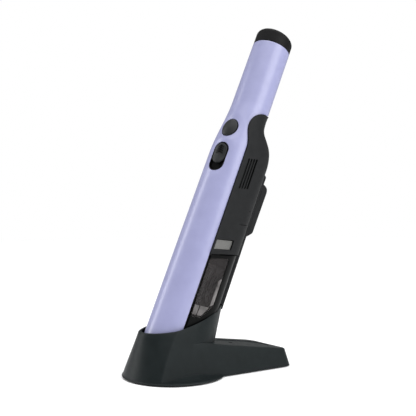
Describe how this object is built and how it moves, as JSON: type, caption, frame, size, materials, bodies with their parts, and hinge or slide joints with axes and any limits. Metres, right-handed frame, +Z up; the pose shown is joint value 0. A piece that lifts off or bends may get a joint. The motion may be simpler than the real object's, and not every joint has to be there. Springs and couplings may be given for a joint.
{
  "type": "handheld vacuum with charging dock",
  "caption": "Slim stick-shaped handheld vacuum leaning back in a round-fronted charging dock with a long tapering tail.",
  "frame": {"origin": "centre of the dock's round flange, on the surface it stands on", "axes": "+Z up, controls face -Y, the dock's tail points to +Y, +X is the right-hand side"},
  "size_m": [0.111, 0.2179, 0.3979],
  "materials": {
    "lavender_shell": "satin painted shell",
    "charcoal_plastic": "fine matte",
    "black_plastic": "fine matte",
    "gloss_black": "glossy",
    "dock_plastic": "satin, faintly green black",
    "cap_plastic": "fine matte",
    "button_plastic": "satin",
    "smoked_clear": "smoked clear plastic",
    "silver_plate": "brushed silver, blank",
    "steel": "plain",
    "motor_shell": "drawn can",
    "contact_metal": "plated",
    "circuit_board": "lacquered",
    "felt": "pressed felt",
    "rubber": "matt",
    "cell_wrap": "plain sleeve, no print"
  },
  "bodies": {
    "dock": {"dock_body": "dock_plastic", "dock_base_plate": "black_plastic", "rubber_foot_centre": "rubber", "rubber_foot_front_right": "rubber", "rubber_foot_front_left": "rubber", "rubber_foot_rear_right": "rubber", "rubber_foot_rear_left": "rubber", "base_screw_1": "steel", "base_screw_2": "steel", "base_screw_3": "steel", "base_screw_4": "steel", "charge_pin_right": "contact_metal", "charge_pin_left": "contact_metal", "dock_board": "circuit_board", "power_inlet": "black_plastic"},
    "wand": {"front_shell": "lavender_shell", "nozzle": "black_plastic", "nozzle_seal": "rubber", "inlet_duct": "black_plastic", "bin_frame": "gloss_black", "dust_cup": "smoked_clear", "bin_divider": "black_plastic", "filter_frame": "black_plastic", "filter_screen": "steel", "filter_felt": "felt", "rear_housing": "charcoal_plastic", "badge_plate_right": "silver_plate", "badge_plate_left": "silver_plate", "door_hinge_pin": "steel", "motor_filter": "felt", "fan_shroud": "black_plastic", "motor_can": "motor_shell", "motor_winding": "contact_metal", "motor_mount": "rubber", "motor_cradle": "black_plastic", "battery_socket": "black_plastic", "cradle_screw_right": "steel", "cradle_screw_left": "steel", "charge_contact_right": "contact_metal", "charge_contact_left": "contact_metal", "slider_bezel": "gloss_black", "control_board": "circuit_board", "power_switch": "steel", "slider_spring": "steel"},
    "power_button": {"power_button": "button_plastic"},
    "eject_slider": {"eject_slider": "button_plastic"},
    "bin_door": {"bin_door": "charcoal_plastic", "door_pad": "charcoal_plastic", "door_seal": "rubber"},
    "battery": {"battery_case": "black_plastic", "battery_cell_1": "cell_wrap", "battery_cell_2": "cell_wrap", "battery_cell_3": "cell_wrap", "battery_board": "circuit_board", "battery_cap": "cap_plastic"},
    "battery_latch": {"battery_latch": "cap_plastic"},
    "fan": {"impeller": "black_plastic", "motor_shaft": "steel"}
  },
  "joints": [
    {"name": "wand_lift", "type": "slide", "parent": "dock", "child": "wand", "axis": [0, 0.3907, 0.9205], "range_m": [0, 0.09]},
    {"name": "power_press", "type": "slide", "parent": "wand", "child": "power_button", "axis": [-0.3907, 0.8473, -0.3597], "range_m": [0, 0.0015], "stiffness_N_per_m": 600, "springref_m": -0.001},
    {"name": "eject_slide", "type": "slide", "parent": "wand", "child": "eject_slider", "axis": [0, -0.3907, -0.9205], "range_m": [0, 0.008], "stiffness_N_per_m": 150, "springref_m": -0.003, "deforming": ["slider_spring"]},
    {"name": "bin_door_hinge", "type": "hinge", "parent": "wand", "child": "bin_door", "pos_m": [0, 0.11706, 0.21799], "axis": [1, 0, 0], "range_deg": [0, 80]},
    {"name": "battery_slide", "type": "slide", "parent": "wand", "child": "battery", "axis": [0, 0.3907, 0.9205], "range_m": [0, 0.1]},
    {"name": "latch_press", "type": "slide", "parent": "battery", "child": "battery_latch", "axis": [0, -0.9205, 0.3907], "range_m": [0, 0.002], "stiffness_N_per_m": 600, "springref_m": -0.001},
    {"name": "fan_spin", "type": "hinge", "parent": "wand", "child": "fan", "pos_m": [0, 0.05578, 0.161], "axis": [0, 0.3907, 0.9205], "continuous": true}
  ]
}
